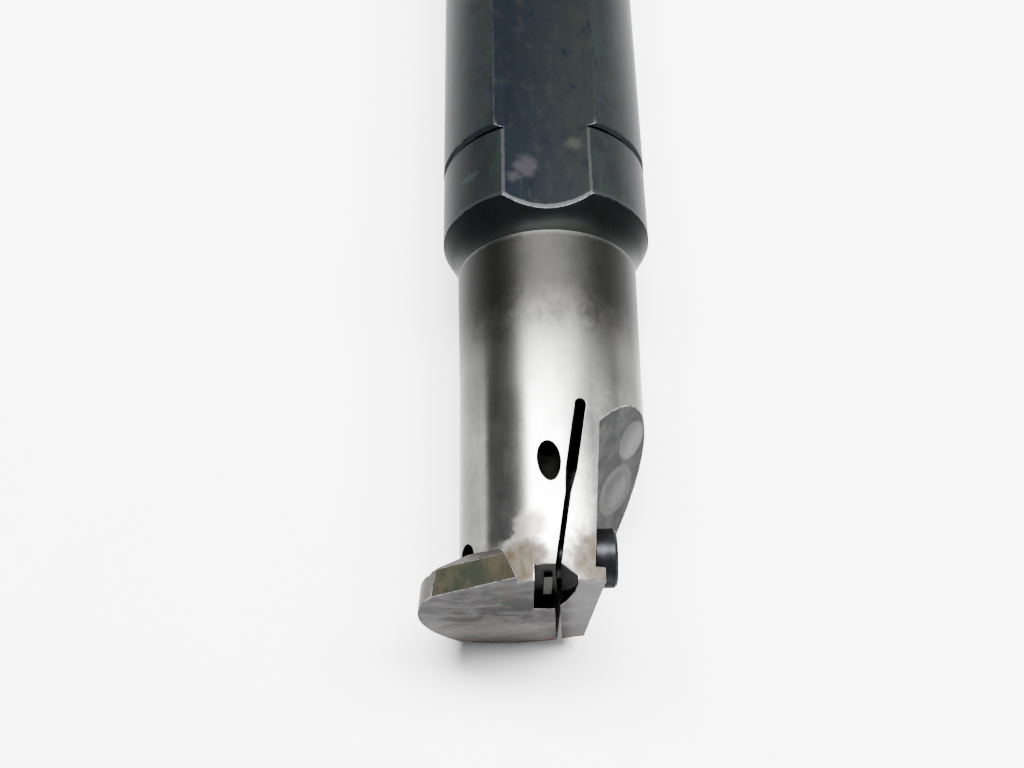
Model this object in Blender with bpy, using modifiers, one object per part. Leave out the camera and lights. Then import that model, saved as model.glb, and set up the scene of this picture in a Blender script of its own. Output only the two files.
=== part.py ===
"""Indexable boring bar with a slit clamping head, in metres with +Z up.

The bar lies along Y. The head's front face looks towards -Y and the shank ends at +Y. Shapes are
placed about the bar's own axis, with Y measured from the front face. An empty carries them, so that
the world's origin is the middle of the shank's clamping flat.
"""

import math

import bmesh
import bpy
from mathutils import Matrix, Vector

# Turned body, from the front face to the rear
NECK_RADIUS = 0.0104
NECK_STRAIGHT_LENGTH = 0.026
NECK_REAR_RADIUS = 0.01065
NECK_LENGTH = 0.0453
CONE_ANGLE = math.radians(30)
CONE_FILLET = 0.005
COLLAR_RADIUS = 0.01245
COLLAR_LENGTH = 0.0094
GROOVE_DEPTH = 0.0005
GROOVE_WIDTH = 0.0006
SHANK_RADIUS = 0.0125
SHANK_LENGTH = 0.1447
SHANK_BEVEL = 0.0004
REAR_CHAMFER = 0.0008

# Flat that the shank is clamped on, and the shallower flat on the collar, as heights above the axis
FLAT_HEIGHT = 0.01093
COLLAR_FLAT_HEIGHT = 0.01132

# Coolant bore along the axis, and the outlet drilled into it from the neck's top
BORE_RADIUS = 0.0025
BORE_END_Y = 0.0275
BORE_COUNTERSINK = 0.0005
DRILL_TIP_ANGLE = math.radians(59)
OUTLET_RADIUS = 0.0012
OUTLET_MOUTH = Vector((-0.00076, 0.01274, 0.01037))
OUTLET_TARGET = Vector((-0.0016, 0.0289, 0.0))

# Lobe at the front of the head: a relieved left flank, a lower arc and a flat facet on its upper left
LOBE_THICKNESS = 0.0028
LOBE_CHAMFER_LENGTH = 0.0015
LOBE_CHAMFER_DEPTH = 0.0018
FLANK_RADIUS = 0.01385
FLANK_CENTRE = Vector((-0.0010, 0.0, -0.0015))
FLANK_RELIEF = math.radians(5)
LOWER_RADIUS = 0.0153
LOWER_CENTRE = Vector((-0.00545, 0.0, 0.0031))
FACET_DISTANCE = 0.01175
FACET_TURN = math.radians(34)
LOBE_CUT_POINT = Vector((-0.0051, 0.002, 0.0))
LOBE_CUT_TURN = math.radians(23)

# Slit between the two jaws: it slants in plan, leans a little, and is narrow in front
SLIT_END_Y = 0.0201
SLIT_WIDTH = 0.00115
SLIT_NARROW_WIDTH = 0.00055
SLIT_NARROW_LENGTH = 0.0094
SLIT_TAPER_LENGTH = 0.0026
SLIT_TURN = math.radians(9.3)
SLIT_LEAN = math.radians(2.3)

# Insert seat, open to the front and the top, with a rib on its rear wall
SEAT_LEFT_X = -0.00255
SEAT_RIGHT_X = 0.00175
SEAT_FLOOR_Z = 0.0007
SEAT_DEPTH = 0.00165
SEAT_ARC_FOOT = Vector((0.0, 0.0011))
SEAT_ARC_MIDDLE = Vector((0.00115, 0.0044))
SEAT_BEVEL_X = 0.0002
SEAT_BEVEL_ANGLE = math.radians(39)
RIB_X = -0.0011
RIB_WIDTH = 0.00086
RIB_HEIGHT = 0.00045
RIB_LOW_Z = 0.0019
RIB_TOP_Z = 0.0074

# Right jaw: a side flat with a lip in front of it and a slanted run-out behind it
JAW_SIDE_X = 0.00344
JAW_SIDE_TURN = math.radians(4.15)
LIP_THICKNESS = 0.0015
LIP_X = 0.0039
LIP_LEAN = math.radians(4)
RUNOUT_START_Y = 0.0115
RUNOUT_TURN = math.radians(36.3)
RUNOUT_RISE = math.radians(19.7)
DISH_RADIUS = 0.007
DISH_DEPTH = 0.00035
REAR_DISH_MARK = Vector((0.00866, 0.0187, 0.00186))
FRONT_DISH_MARK = Vector((0.00688, 0.01419, -0.00159))

# Clamp screw across the slit, on a spot face that is square to it
SCREW_SEAT = Vector((0.0036, 0.00425, 0.0041))
SCREW_RADIUS = 0.002
SCREW_LENGTH = 0.010
SCREW_HEAD_RADIUS = 0.00308
SCREW_HEAD_HEIGHT = 0.0022
TAP_DRILL_RADIUS = 0.00165
SCREW_EDGE = 0.0003
SOCKET_ACROSS_FLATS = 0.0025
SOCKET_DEPTH = 0.0013
SCREW_CLEARANCE = 0.0003

# Facets and cutter sizes
BODY_STEPS = 90
SCREW_STEPS = 48
HOLE_STEPS = 32
ARC_STEPS = 8
SPARE = 0.001
REACH = 0.030
MERGE_DISTANCE = 0.00001

# Places that follow from the sizes above
BAR_LENGTH = NECK_LENGTH + COLLAR_LENGTH + GROOVE_WIDTH + SHANK_LENGTH
COLLAR_END_Y = NECK_LENGTH + COLLAR_LENGTH
SHANK_START_Y = COLLAR_END_Y + GROOVE_WIDTH
FLAT_MIDDLE_Y = (SHANK_START_Y + BAR_LENGTH) / 2
SCREW_DIRECTION = Vector((1, 0, 0))


def clear_scene():
    for obj in list(bpy.data.objects):
        bpy.data.objects.remove(obj, do_unlink=True)


def new_collection(name):
    collection = bpy.data.collections.new(name)
    bpy.context.scene.collection.children.link(collection)
    return collection


def principled(name, colour, roughness, metallic):
    material = bpy.data.materials.new(name)
    material.use_nodes = True
    shader = material.node_tree.nodes["Principled BSDF"]
    shader.inputs["Base Color"].default_value = (*colour, 1)
    shader.inputs["Roughness"].default_value = roughness
    shader.inputs["Metallic"].default_value = metallic
    return material


def new_object(name, mesh, collection, parent):
    obj = bpy.data.objects.new(name, mesh)
    collection.objects.link(obj)
    obj.parent = parent
    return obj


def as_cutter(obj):
    obj.hide_render = True
    obj.display_type = "WIRE"
    return obj


def combine(obj, tool, operation):
    """Adds an exact Boolean of this object with the tool."""
    modifier = obj.modifiers.new(f"{operation.lower()} {tool.name}", "BOOLEAN")
    modifier.operation = operation
    modifier.solver = "EXACT"
    modifier.object = tool


def facing(direction, point):
    """Matrix that turns local Z to the direction and moves the origin to the point."""
    turn = Vector(direction).normalized().to_track_quat("Z", "Y")
    return Matrix.LocRotScale(point, turn, None)


def block(name, size, middle, collection, parent):
    """Box of the given size, square to the axes."""
    mesh = bpy.data.meshes.new(name)
    bm = bmesh.new()
    bmesh.ops.create_cube(bm, size=1, matrix=Matrix.Diagonal((*size, 1)))
    bm.to_mesh(mesh)
    bm.free()
    obj = new_object(name, mesh, collection, parent)
    obj.location = middle
    return as_cutter(obj)


def half_space(name, point, direction, collection, parent):
    """Large box that starts on the plane through the point and fills the side of the direction."""
    obj = block(name, (2 * REACH, 2 * REACH, REACH), (0, 0, 0), collection, parent)
    for vertex in obj.data.vertices:
        vertex.co.z += REACH / 2
    obj.matrix_local = facing(direction, point)
    return obj


def flat(name, height, start_y, end_y, collection, parent):
    """Material removed above a height, over part of the bar's length."""
    size = (2 * REACH, end_y - start_y, REACH)
    return block(name, size, (0, (start_y + end_y) / 2, height + REACH / 2), collection, parent)


def rod(name, radius, start, end, steps, collection, parent):
    """Cylinder between two points."""
    start = Vector(start)
    end = Vector(end)
    mesh = bpy.data.meshes.new(name)
    bm = bmesh.new()
    bmesh.ops.create_cone(
        bm, cap_ends=True, segments=steps, radius1=radius, radius2=radius, depth=(end - start).length
    )
    bm.to_mesh(mesh)
    bm.free()
    obj = new_object(name, mesh, collection, parent)
    obj.matrix_local = facing(end - start, (start + end) / 2)
    return as_cutter(obj)


def ball(name, radius, centre, collection, parent):
    mesh = bpy.data.meshes.new(name)
    bm = bmesh.new()
    bmesh.ops.create_uvsphere(bm, u_segments=2 * HOLE_STEPS, v_segments=HOLE_STEPS, radius=radius)
    bm.to_mesh(mesh)
    bm.free()
    obj = new_object(name, mesh, collection, parent)
    obj.location = centre
    return as_cutter(obj)


def extruded(name, outline, thickness, placement, collection, parent):
    """Solid of a flat outline, extruded half its thickness to both sides of its own XY plane."""
    curve = bpy.data.curves.new(name, "CURVE")
    curve.dimensions = "2D"
    curve.fill_mode = "BOTH"
    curve.extrude = thickness / 2
    spline = curve.splines.new("POLY")
    spline.points.add(len(outline) - 1)
    for point, (x, y) in zip(spline.points, outline):
        point.co = (x, y, 0, 1)
    spline.use_cyclic_u = True
    drawn = new_object(f"{name} outline", curve, collection, None)
    bpy.context.view_layer.update()
    graph = bpy.context.evaluated_depsgraph_get()
    mesh = bpy.data.meshes.new_from_object(drawn.evaluated_get(graph))
    bm = bmesh.new()
    bm.from_mesh(mesh)
    bmesh.ops.remove_doubles(bm, verts=bm.verts, dist=MERGE_DISTANCE)
    bmesh.ops.recalc_face_normals(bm, faces=bm.faces)
    bm.to_mesh(mesh)
    bm.free()
    bpy.data.objects.remove(drawn, do_unlink=True)
    obj = new_object(name, mesh, collection, parent)
    obj.matrix_local = placement
    return as_cutter(obj)


def turned(name, profile, steps, collection, parent):
    """Solid of revolution about local Z. The profile holds (radius, height), from the top down."""
    mesh = bpy.data.meshes.new(name)
    bm = bmesh.new()
    points = [bm.verts.new((radius, 0, height)) for radius, height in profile]
    for first, second in zip(points, points[1:]):
        bm.edges.new((first, second))
    bm.to_mesh(mesh)
    bm.free()
    obj = new_object(name, mesh, collection, parent)
    screw = obj.modifiers.new("turn", "SCREW")
    screw.axis = "Z"
    screw.angle = math.tau
    screw.steps = steps
    screw.render_steps = steps
    screw.use_merge_vertices = True
    screw.merge_threshold = MERGE_DISTANCE
    screw.use_smooth_shade = True
    return obj


def arc(centre, radius, start, end, steps=ARC_STEPS):
    """Points along an arc, both ends included."""
    turns = [start + (end - start) * step / steps for step in range(steps + 1)]
    return [(centre[0] + radius * math.cos(turn), centre[1] + radius * math.sin(turn)) for turn in turns]


def body_profile():
    """Half section of the turned body, from the bore's closed end round to the front's middle."""
    cone_end_y = NECK_LENGTH - (COLLAR_RADIUS - NECK_REAR_RADIUS) / math.tan(CONE_ANGLE)
    fillet_front_y = cone_end_y - CONE_FILLET * math.tan(CONE_ANGLE / 2)
    fillet_centre = (NECK_REAR_RADIUS + CONE_FILLET, fillet_front_y)
    fillet = arc(fillet_centre, CONE_FILLET, math.pi - CONE_ANGLE, math.pi)
    groove_radius = COLLAR_RADIUS - GROOVE_DEPTH
    return [
        (0, BORE_END_Y),
        (BORE_RADIUS, BORE_END_Y + BORE_RADIUS / math.tan(DRILL_TIP_ANGLE)),
        (BORE_RADIUS, BAR_LENGTH - BORE_COUNTERSINK),
        (BORE_RADIUS + BORE_COUNTERSINK, BAR_LENGTH),
        (SHANK_RADIUS - REAR_CHAMFER, BAR_LENGTH),
        (SHANK_RADIUS, BAR_LENGTH - REAR_CHAMFER),
        (SHANK_RADIUS, SHANK_START_Y + SHANK_BEVEL),
        (SHANK_RADIUS - SHANK_BEVEL, SHANK_START_Y),
        (groove_radius, SHANK_START_Y),
        (groove_radius, COLLAR_END_Y),
        (COLLAR_RADIUS, COLLAR_END_Y),
        (COLLAR_RADIUS, NECK_LENGTH),
        *fillet,
        (NECK_RADIUS, NECK_STRAIGHT_LENGTH),
        (NECK_RADIUS, -SPARE),
        (0, -SPARE),
    ]


def front_lobe(collection, parent):
    """Lobe that stands out to the left, chamfered behind and cut back to the neck on its upper right."""
    rear = LOBE_THICKNESS + LOBE_CHAMFER_LENGTH
    rear_radius = FLANK_RADIUS - LOBE_THICKNESS * math.tan(FLANK_RELIEF)
    profile = [
        (0, rear),
        (rear_radius - LOBE_CHAMFER_DEPTH, rear),
        (rear_radius, LOBE_THICKNESS),
        (FLANK_RADIUS, 0),
        (FLANK_RADIUS, -SPARE / 2),
        (0, -SPARE / 2),
    ]
    lobe = as_cutter(turned("front_lobe", profile, BODY_STEPS, collection, parent))
    lobe.location = FLANK_CENTRE
    lobe.rotation_euler = (-math.pi / 2, 0, 0)
    along = Vector((0, REACH, 0))
    lower = rod(
        "lower_arc", LOWER_RADIUS, LOWER_CENTRE - along, LOWER_CENTRE + along, BODY_STEPS, collection, parent
    )
    combine(lobe, lower, "INTERSECT")
    upper_left = Vector((-math.sin(FACET_TURN), 0, math.cos(FACET_TURN)))
    on_facet = upper_left * FACET_DISTANCE
    combine(lobe, half_space("facet", on_facet, upper_left, collection, parent), "DIFFERENCE")
    behind = upper_left * LOBE_CHAMFER_LENGTH + Vector((0, LOBE_CHAMFER_DEPTH, 0))
    rear_edge = on_facet + Vector((0, LOBE_THICKNESS, 0))
    combine(lobe, half_space("facet_chamfer", rear_edge, behind, collection, parent), "DIFFERENCE")
    right = (math.cos(LOBE_CUT_TURN), math.sin(LOBE_CUT_TURN), 0)
    corner = half_space("lobe_corner", LOBE_CUT_POINT, right, collection, parent)
    combine(corner, half_space("upper_half", (0, 0, 0), (0, 0, 1), collection, parent), "INTERSECT")
    combine(lobe, corner, "DIFFERENCE")
    return lobe


def slit(collection, parent):
    """Through slit with a round end, wide behind and narrow in front."""
    wide = SLIT_WIDTH / 2
    narrow = SLIT_NARROW_WIDTH / 2
    taper_end = SLIT_NARROW_LENGTH + SLIT_TAPER_LENGTH
    end = arc((0, SLIT_END_Y - wide), wide, 0, math.pi)
    outline = [
        (narrow, -2 * SPARE),
        (narrow, SLIT_NARROW_LENGTH),
        (wide, taper_end),
        *end,
        (-wide, taper_end),
        (-narrow, SLIT_NARROW_LENGTH),
        (-narrow, -2 * SPARE),
    ]
    placement = Matrix.Rotation(-SLIT_TURN, 4, "Z") @ Matrix.Rotation(-SLIT_LEAN, 4, "Y")
    return extruded("slit", outline, 2 * REACH, placement, collection, parent)


def seat(collection, parent):
    """Insert seat: an outline in front view whose right wall is an arc, with a rib left standing."""
    top = 2 * NECK_RADIUS
    wall = circle_through(SEAT_ARC_FOOT, SEAT_ARC_MIDDLE, Vector((SEAT_RIGHT_X, NECK_RADIUS)))
    outline = [(SEAT_LEFT_X, top), (SEAT_LEFT_X, SEAT_FLOOR_Z), *wall, (SEAT_RIGHT_X, top)]
    length = SEAT_DEPTH + 2 * SPARE
    placement = Matrix.Translation((0, SEAT_DEPTH - length / 2, 0)) @ Matrix.Rotation(math.pi / 2, 4, "X")
    pocket = extruded("seat", outline, length, placement, collection, parent)
    behind = (math.sin(SEAT_BEVEL_ANGLE), math.cos(SEAT_BEVEL_ANGLE), 0)
    corner = (SEAT_BEVEL_X, SEAT_DEPTH, 0)
    combine(pocket, half_space("seat_bevel", corner, behind, collection, parent), "DIFFERENCE")
    rib_size = (RIB_WIDTH, 2 * RIB_HEIGHT, RIB_TOP_Z - RIB_LOW_Z)
    rib_middle = (RIB_X, SEAT_DEPTH, (RIB_TOP_Z + RIB_LOW_Z) / 2)
    combine(pocket, block("seat_rib", rib_size, rib_middle, collection, parent), "DIFFERENCE")
    return pocket


def circle_through(first, middle, last):
    """Points along the arc from the first point to the last that passes the middle one."""
    to_middle = middle - first
    to_last = last - first
    area = 2 * (to_middle.x * to_last.y - to_middle.y * to_last.x)
    centre = first + Vector(
        (
            (to_last.y * to_middle.length_squared - to_middle.y * to_last.length_squared) / area,
            (to_middle.x * to_last.length_squared - to_last.x * to_middle.length_squared) / area,
        )
    )
    start = math.atan2(first.y - centre.y, first.x - centre.x)
    end = math.atan2(last.y - centre.y, last.x - centre.x)
    return arc(centre, (first - centre).length, start, end)


def jaw_side(collection, parent):
    """Material removed from the jaw's right: down to the side flat, in front of the run-out plane."""
    outwards = (math.cos(JAW_SIDE_TURN), -math.sin(JAW_SIDE_TURN), 0)
    side = half_space("jaw_side", (JAW_SIDE_X, 0, 0), outwards, collection, parent)
    behind_lip = half_space("behind_lip", (0, LIP_THICKNESS, 0), (0, 1, 0), collection, parent)
    combine(side, behind_lip, "INTERSECT")
    combine(side, half_space("run_out", runout_start(), runout_normal(), collection, parent), "INTERSECT")
    return side


def runout_start():
    return Vector((JAW_SIDE_X + RUNOUT_START_Y * math.tan(JAW_SIDE_TURN), RUNOUT_START_Y, 0))


def runout_normal():
    level = math.cos(RUNOUT_RISE)
    return Vector((level * math.cos(RUNOUT_TURN), -level * math.sin(RUNOUT_TURN), math.sin(RUNOUT_RISE)))


def dish(name, mark, collection, parent):
    """Ball that sinks a shallow dish into the run-out plane, at the mark's nearest point on it."""
    normal = runout_normal()
    on_plane = mark - normal * (mark - runout_start()).dot(normal)
    return ball(name, DISH_RADIUS, on_plane + normal * (DISH_RADIUS - DISH_DEPTH), collection, parent)


def lip(collection, parent):
    """Material removed from the lip's right, on a plane that leans outwards at the top."""
    outwards = (math.cos(LIP_LEAN), 0, -math.sin(LIP_LEAN))
    side = half_space("lip_side", (LIP_X, 0, 0), outwards, collection, parent)
    in_front = half_space("lip_front", (0, LIP_THICKNESS + SPARE, 0), (0, -1, 0), collection, parent)
    combine(side, in_front, "INTERSECT")
    return side


def along_screw(distance):
    return SCREW_SEAT + SCREW_DIRECTION * distance


def clamp_screw(collection, parent, material):
    """Cap screw. Its origin is on its own axis, on the spot face."""
    seat_height = SCREW_CLEARANCE
    top = seat_height + SCREW_HEAD_HEIGHT
    end = seat_height - SCREW_LENGTH
    profile = [
        (0, top),
        (SCREW_HEAD_RADIUS - SCREW_EDGE, top),
        (SCREW_HEAD_RADIUS, top - SCREW_EDGE),
        (SCREW_HEAD_RADIUS, seat_height),
        (SCREW_RADIUS, seat_height),
        (SCREW_RADIUS, end + SCREW_EDGE),
        (SCREW_RADIUS - SCREW_EDGE, end),
        (0, end),
    ]
    screw = turned("clamp_screw", profile, SCREW_STEPS, collection, parent)
    screw.matrix_local = facing(SCREW_DIRECTION, SCREW_SEAT)
    screw.data.materials.append(material)
    return screw


def hex_socket(screw, collection, parent):
    """Blind hexagon hole in the screw's outer end."""
    top = SCREW_CLEARANCE + SCREW_HEAD_HEIGHT
    start = along_screw(top - SOCKET_DEPTH)
    radius = SOCKET_ACROSS_FLATS / math.sqrt(3)
    socket = rod("hex_socket", radius, start, along_screw(top + SPARE), 6, collection, parent)
    combine(screw, socket, "DIFFERENCE")


def bar_body(collection, cutters, parent, material):
    """The whole bar apart from its screw, in the order it would be machined."""
    body = turned("bar_body", body_profile(), BODY_STEPS, collection, parent)
    body.rotation_euler = (-math.pi / 2, 0, 0)
    body.data.materials.append(material)
    hole_radius = SCREW_RADIUS + SCREW_CLEARANCE
    counterbore_radius = SCREW_HEAD_RADIUS + SCREW_CLEARANCE
    inwards = (OUTLET_TARGET - OUTLET_MOUTH).normalized()
    hole_end = along_screw(-SCREW_LENGTH)
    combine(body, front_lobe(cutters, parent), "UNION")
    tools = [
        half_space("front_face", (0, 0, 0), (0, -1, 0), cutters, parent),
        flat("clamping_flat", FLAT_HEIGHT, COLLAR_END_Y, BAR_LENGTH + SPARE, cutters, parent),
        flat("collar_flat", COLLAR_FLAT_HEIGHT, -SPARE, SHANK_START_Y, cutters, parent),
        jaw_side(cutters, parent),
        dish("rear_dish", REAR_DISH_MARK, cutters, parent),
        dish("front_dish", FRONT_DISH_MARK, cutters, parent),
        lip(cutters, parent),
        seat(cutters, parent),
        slit(cutters, parent),
        rod("screw_hole", hole_radius, hole_end, along_screw(SPARE), SCREW_STEPS, cutters, parent),
        rod("tap_drill", TAP_DRILL_RADIUS, along_screw(-REACH), SCREW_SEAT, HOLE_STEPS, cutters, parent),
        rod("screw_seat", counterbore_radius, SCREW_SEAT, along_screw(REACH), SCREW_STEPS, cutters, parent),
        rod(
            "coolant_outlet",
            OUTLET_RADIUS,
            OUTLET_MOUTH - inwards * NECK_RADIUS,
            OUTLET_TARGET,
            HOLE_STEPS,
            cutters,
            parent,
        ),
    ]
    for tool in tools:
        combine(body, tool, "DIFFERENCE")
    return body


def main():
    clear_scene()
    bar = new_collection("indexable_boring_bar")
    cutters = new_collection("cutters")
    cutters.hide_render = True
    axis = bpy.data.objects.new("bar_axis", None)
    axis.empty_display_size = SHANK_RADIUS
    axis.location = (0, -FLAT_MIDDLE_Y, -FLAT_HEIGHT)
    bar.objects.link(axis)
    blackened = principled("blackened_steel", (0.055, 0.065, 0.078), 0.42, 0.9)
    black_oxide = principled("black_oxide_screw", (0.020, 0.021, 0.023), 0.38, 0.8)
    bar_body(bar, cutters, axis, blackened)
    screw = clamp_screw(bar, axis, black_oxide)
    hex_socket(screw, cutters, axis)


main()
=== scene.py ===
import math

import bmesh
import bpy
from bpy.props import FloatProperty, FloatVectorProperty, IntProperty, PointerProperty
from bpy.types import Operator, Panel, PropertyGroup
from mathutils import Matrix, Vector


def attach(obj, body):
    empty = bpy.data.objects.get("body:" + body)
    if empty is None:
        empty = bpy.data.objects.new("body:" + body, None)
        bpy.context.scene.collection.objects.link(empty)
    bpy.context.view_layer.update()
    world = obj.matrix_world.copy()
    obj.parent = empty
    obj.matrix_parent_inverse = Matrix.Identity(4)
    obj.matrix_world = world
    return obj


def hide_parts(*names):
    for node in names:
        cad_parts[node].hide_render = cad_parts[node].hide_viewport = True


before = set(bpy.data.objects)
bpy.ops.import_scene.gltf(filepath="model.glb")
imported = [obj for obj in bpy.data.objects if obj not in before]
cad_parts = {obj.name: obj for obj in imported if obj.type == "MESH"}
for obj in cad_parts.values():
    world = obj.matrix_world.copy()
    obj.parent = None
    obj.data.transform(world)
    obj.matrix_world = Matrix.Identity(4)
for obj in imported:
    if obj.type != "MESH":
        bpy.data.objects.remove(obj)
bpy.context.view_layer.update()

bl_info = {
    "name": "Indexable boring bar",
    "version": (1, 0, 0),
    "blender": (4, 5, 0),
    "location": "3D View > Sidebar > Boring bar",
    "description": "Models and finishes the bar, its clamp screw and the studio round them",
    "category": "Object",
}

# The bar's own axis, with Y measured from the head's front face. Lengths are in metres.
AXIS = Vector((0, -0.12765, -0.01093))

NECK_RADIUS = 0.0104
NECK_STRAIGHT_LENGTH = 0.026
NECK_REAR_RADIUS = 0.01065
NECK_LENGTH = 0.0453
CONE_ANGLE = math.radians(30)
CONE_FILLET = 0.005
COLLAR_RADIUS = 0.01245
COLLAR_LENGTH = 0.0094
GROOVE_DEPTH = 0.0005
GROOVE_WIDTH = 0.0006
SHANK_RADIUS = 0.0125
SHANK_BEVEL = 0.0004
REAR_CHAMFER = 0.0008
BAR_LENGTH = 0.200
COLLAR_END_Y = NECK_LENGTH + COLLAR_LENGTH
FLAT_HEIGHT = 0.01093
COLLAR_FLAT_HEIGHT = 0.01132

BORE_RADIUS = 0.0025
BORE_END_Y = 0.0275
BORE_COUNTERSINK = 0.0005
DRILL_TIP_ANGLE = math.radians(59)
OUTLET_RADIUS = 0.0012
OUTLET_MOUTH = Vector((-0.00076, 0.01274, 0.01037))
OUTLET_TARGET = Vector((-0.0016, 0.0289, 0.0))

LOBE_THICKNESS = 0.0028
LOBE_CHAMFER_LENGTH = 0.0015
LOBE_CHAMFER_DEPTH = 0.0018
FLANK_RADIUS = 0.01385
FLANK_CENTRE = Vector((-0.0010, 0.0, -0.0015))
FLANK_RELIEF = math.radians(5)
LOWER_RADIUS = 0.0153
LOWER_CENTRE = Vector((-0.00545, 0.0, 0.0031))
FACET_DISTANCE = 0.01175
FACET_TURN = math.radians(34)
LOBE_CUT_POINT = Vector((-0.0051, 0.002, 0.0))
LOBE_CUT_TURN = math.radians(23)

SLIT_END_Y = 0.0201
SLIT_WIDTH = 0.00115
SLIT_NARROW_WIDTH = 0.00055
SLIT_NARROW_LENGTH = 0.0094
SLIT_TAPER_LENGTH = 0.0026
SLIT_TURN = math.radians(9.3)
SLIT_LEAN = math.radians(2.3)

SEAT_LEFT_X = -0.00255
SEAT_RIGHT_X = 0.00175
SEAT_FLOOR_Z = 0.0007
SEAT_DEPTH = 0.00165
SEAT_ARC_FOOT = Vector((0.0, 0.0011))
SEAT_ARC_MIDDLE = Vector((0.00115, 0.0044))
SEAT_BEVEL_X = 0.0002
SEAT_BEVEL_ANGLE = math.radians(39)
RIB_X = -0.0011
RIB_WIDTH = 0.00086
RIB_HEIGHT = 0.00045
RIB_LOW_Z = 0.0019
RIB_TOP_Z = 0.0074

JAW_SIDE_X = 0.00344
JAW_SIDE_TURN = math.radians(4.15)
LIP_THICKNESS = 0.0015
LIP_X = 0.0039
LIP_LEAN = math.radians(4)
RUNOUT_START_Y = 0.0115
RUNOUT_TURN = math.radians(36.3)
RUNOUT_RISE = math.radians(19.7)
DISH_RADIUS = 0.007
DISH_DEPTH = 0.00035
REAR_DISH_MARK = Vector((0.00866, 0.0187, 0.00186))
FRONT_DISH_MARK = Vector((0.00688, 0.01419, -0.00159))

SCREW_SEAT = Vector((0.0036, 0.00425, 0.0041))
SCREW_WAY = Vector((1, 0, 0))
SCREW_RADIUS = 0.002
SCREW_LENGTH = 0.010
SCREW_HEAD_RADIUS = 0.00308
SCREW_HEAD_HEIGHT = 0.0022
TAP_DRILL_RADIUS = 0.00165
SCREW_EDGE = 0.0003
SOCKET_ACROSS_FLATS = 0.0025
SOCKET_DEPTH = 0.0013
HEXAGON = 6
SCREW_CLEARANCE = 0.0003

# How far the cutters stand over the bar, and how finely they are drawn
SPARE = 0.001
REACH = 0.030
FILLET_STEPS = 8
SLIT_END_STEPS = 8
SEAT_WALL_STEPS = 12
HOLE_STEPS = 64
SPOT_FACE_STEPS = 128
DISH_STEPS = 160

MERGE_DISTANCE = 0.000001
SORTED_FROM = (0.3137, 0.1719, 0.2371)
SHARP_ANGLE = math.radians(20)
CRISP_ANGLE = math.radians(24)

RUNOUT_NORMAL = Vector((
    math.cos(RUNOUT_RISE) * math.cos(RUNOUT_TURN),
    -math.cos(RUNOUT_RISE) * math.sin(RUNOUT_TURN),
    math.sin(RUNOUT_RISE),
))
RUNOUT_START = Vector((JAW_SIDE_X + RUNOUT_START_Y * math.tan(JAW_SIDE_TURN), RUNOUT_START_Y, 0))
JAW_SIDE_NORMAL = Vector((math.cos(JAW_SIDE_TURN), -math.sin(JAW_SIDE_TURN), 0))
FACET_NORMAL = Vector((-math.sin(FACET_TURN), 0, math.cos(FACET_TURN)))

# Order of the bar's finishes in its material slots
BLACK, NECK, EDGE, FACET, FACE, MILLED, RECESS, FLANK = range(8)
NECK_END_Y = 0.0409
MILLED_END_Y = 0.03
BORE_FRONT_Y = 0.005
SEAT_WALL_Y = 0.0005
LOBE_STEP = 0.0002
HOLE_DEPTH = 0.0004
# How near to a surface, and how square to it, a face is that belongs to it
HAIR = 0.00001
TOUCH = 0.0001
SQUARE = 0.99
NEARLY_SQUARE = 0.98
MILLED_FACING = 0.97
DISHED_FACING = 0.9
SLIT_SHARE = 0.55

# Materials measure in millimetres
MM = 1000

# Photograph's camera: place and directions in metres, lens in millimetres
CAMERA_PLACE = Vector((-0.00453, -0.16626, 0.11702))
CAMERA_RIGHT = Vector((0.9999, -0.0154, -0.0069))
CAMERA_UP = Vector((0.0168, 0.8901, 0.4555))
CAMERA_BACK = Vector((-0.0009, -0.4555, 0.8902))
CAMERA_LENS = 43.945
CAMERA_SENSOR = 36.0
CAMERA_NEAR = 0.001

TABLE_Z = -0.02343
KEY_PLACE = (0.07, 0.15, 0.90)
KEY_AIM = (-0.07, 0.15, 0.0)
KEY_SIZE = (1.40, 0.32)
KEY_TURN = math.radians(12)
SIDE_PLACE = (0.85, 0.15, 0.31)
SIDE_AIM = (0.0, 0.15, 0.0)
SIDE_SIZE = (0.62, 0.9)
ROOM_COLOUR = (0.95, 0.97, 1.0, 1)

# Stains on the neck: centre and radius in millimetres, and strength. The spot right of the slit at Y 7 mm
# is partly painted shade, narrowing the highlight on that side
NECK_STAINS = (
    ((-3.6, 2.2, 9.8), 3.6, 0.92),
    ((-2.8, 5.8, 10.1), 2.2, 0.36),
    ((4.3, 2.0, 9.6), 5.0, 0.88),
    ((5.8, 7.0, 8.9), 3.4, 0.75),
    ((-9.9, 11.0, 3.0), 4.5, 0.07),
)
# Pale patches on the collar's flat: as above, and their colour
FLAT_PATCHES = (
    ((-2.4, 49.3, 11.3), 2.0, 0.5, (0.019, 0.017, 0.019)),
    ((-3.9, 47.8, 11.3), 1.1, 0.4, (0.019, 0.0175, 0.0185)),
    ((3.2, 52.4, 11.3), 1.3, 0.45, (0.018, 0.018, 0.0155)),
)
# Painted reflections on the dished marks of the run-out, lighter than the steel round them: centre in
# metres, radius in millimetres, and tone
DISH_REFLECTIONS = ((REAR_DISH_MARK, 2.5, 0.068), (FRONT_DISH_MARK, 3.3, 0.052))


def at(point):
    """A place measured on the bar's own axis, in the frame of the whole model."""
    return Vector(point) + AXIS


def colour_setting(name, description, default):
    return FloatVectorProperty(
        name=name, description=description, default=default, min=0, max=1, size=3, subtype="COLOR"
    )


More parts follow.
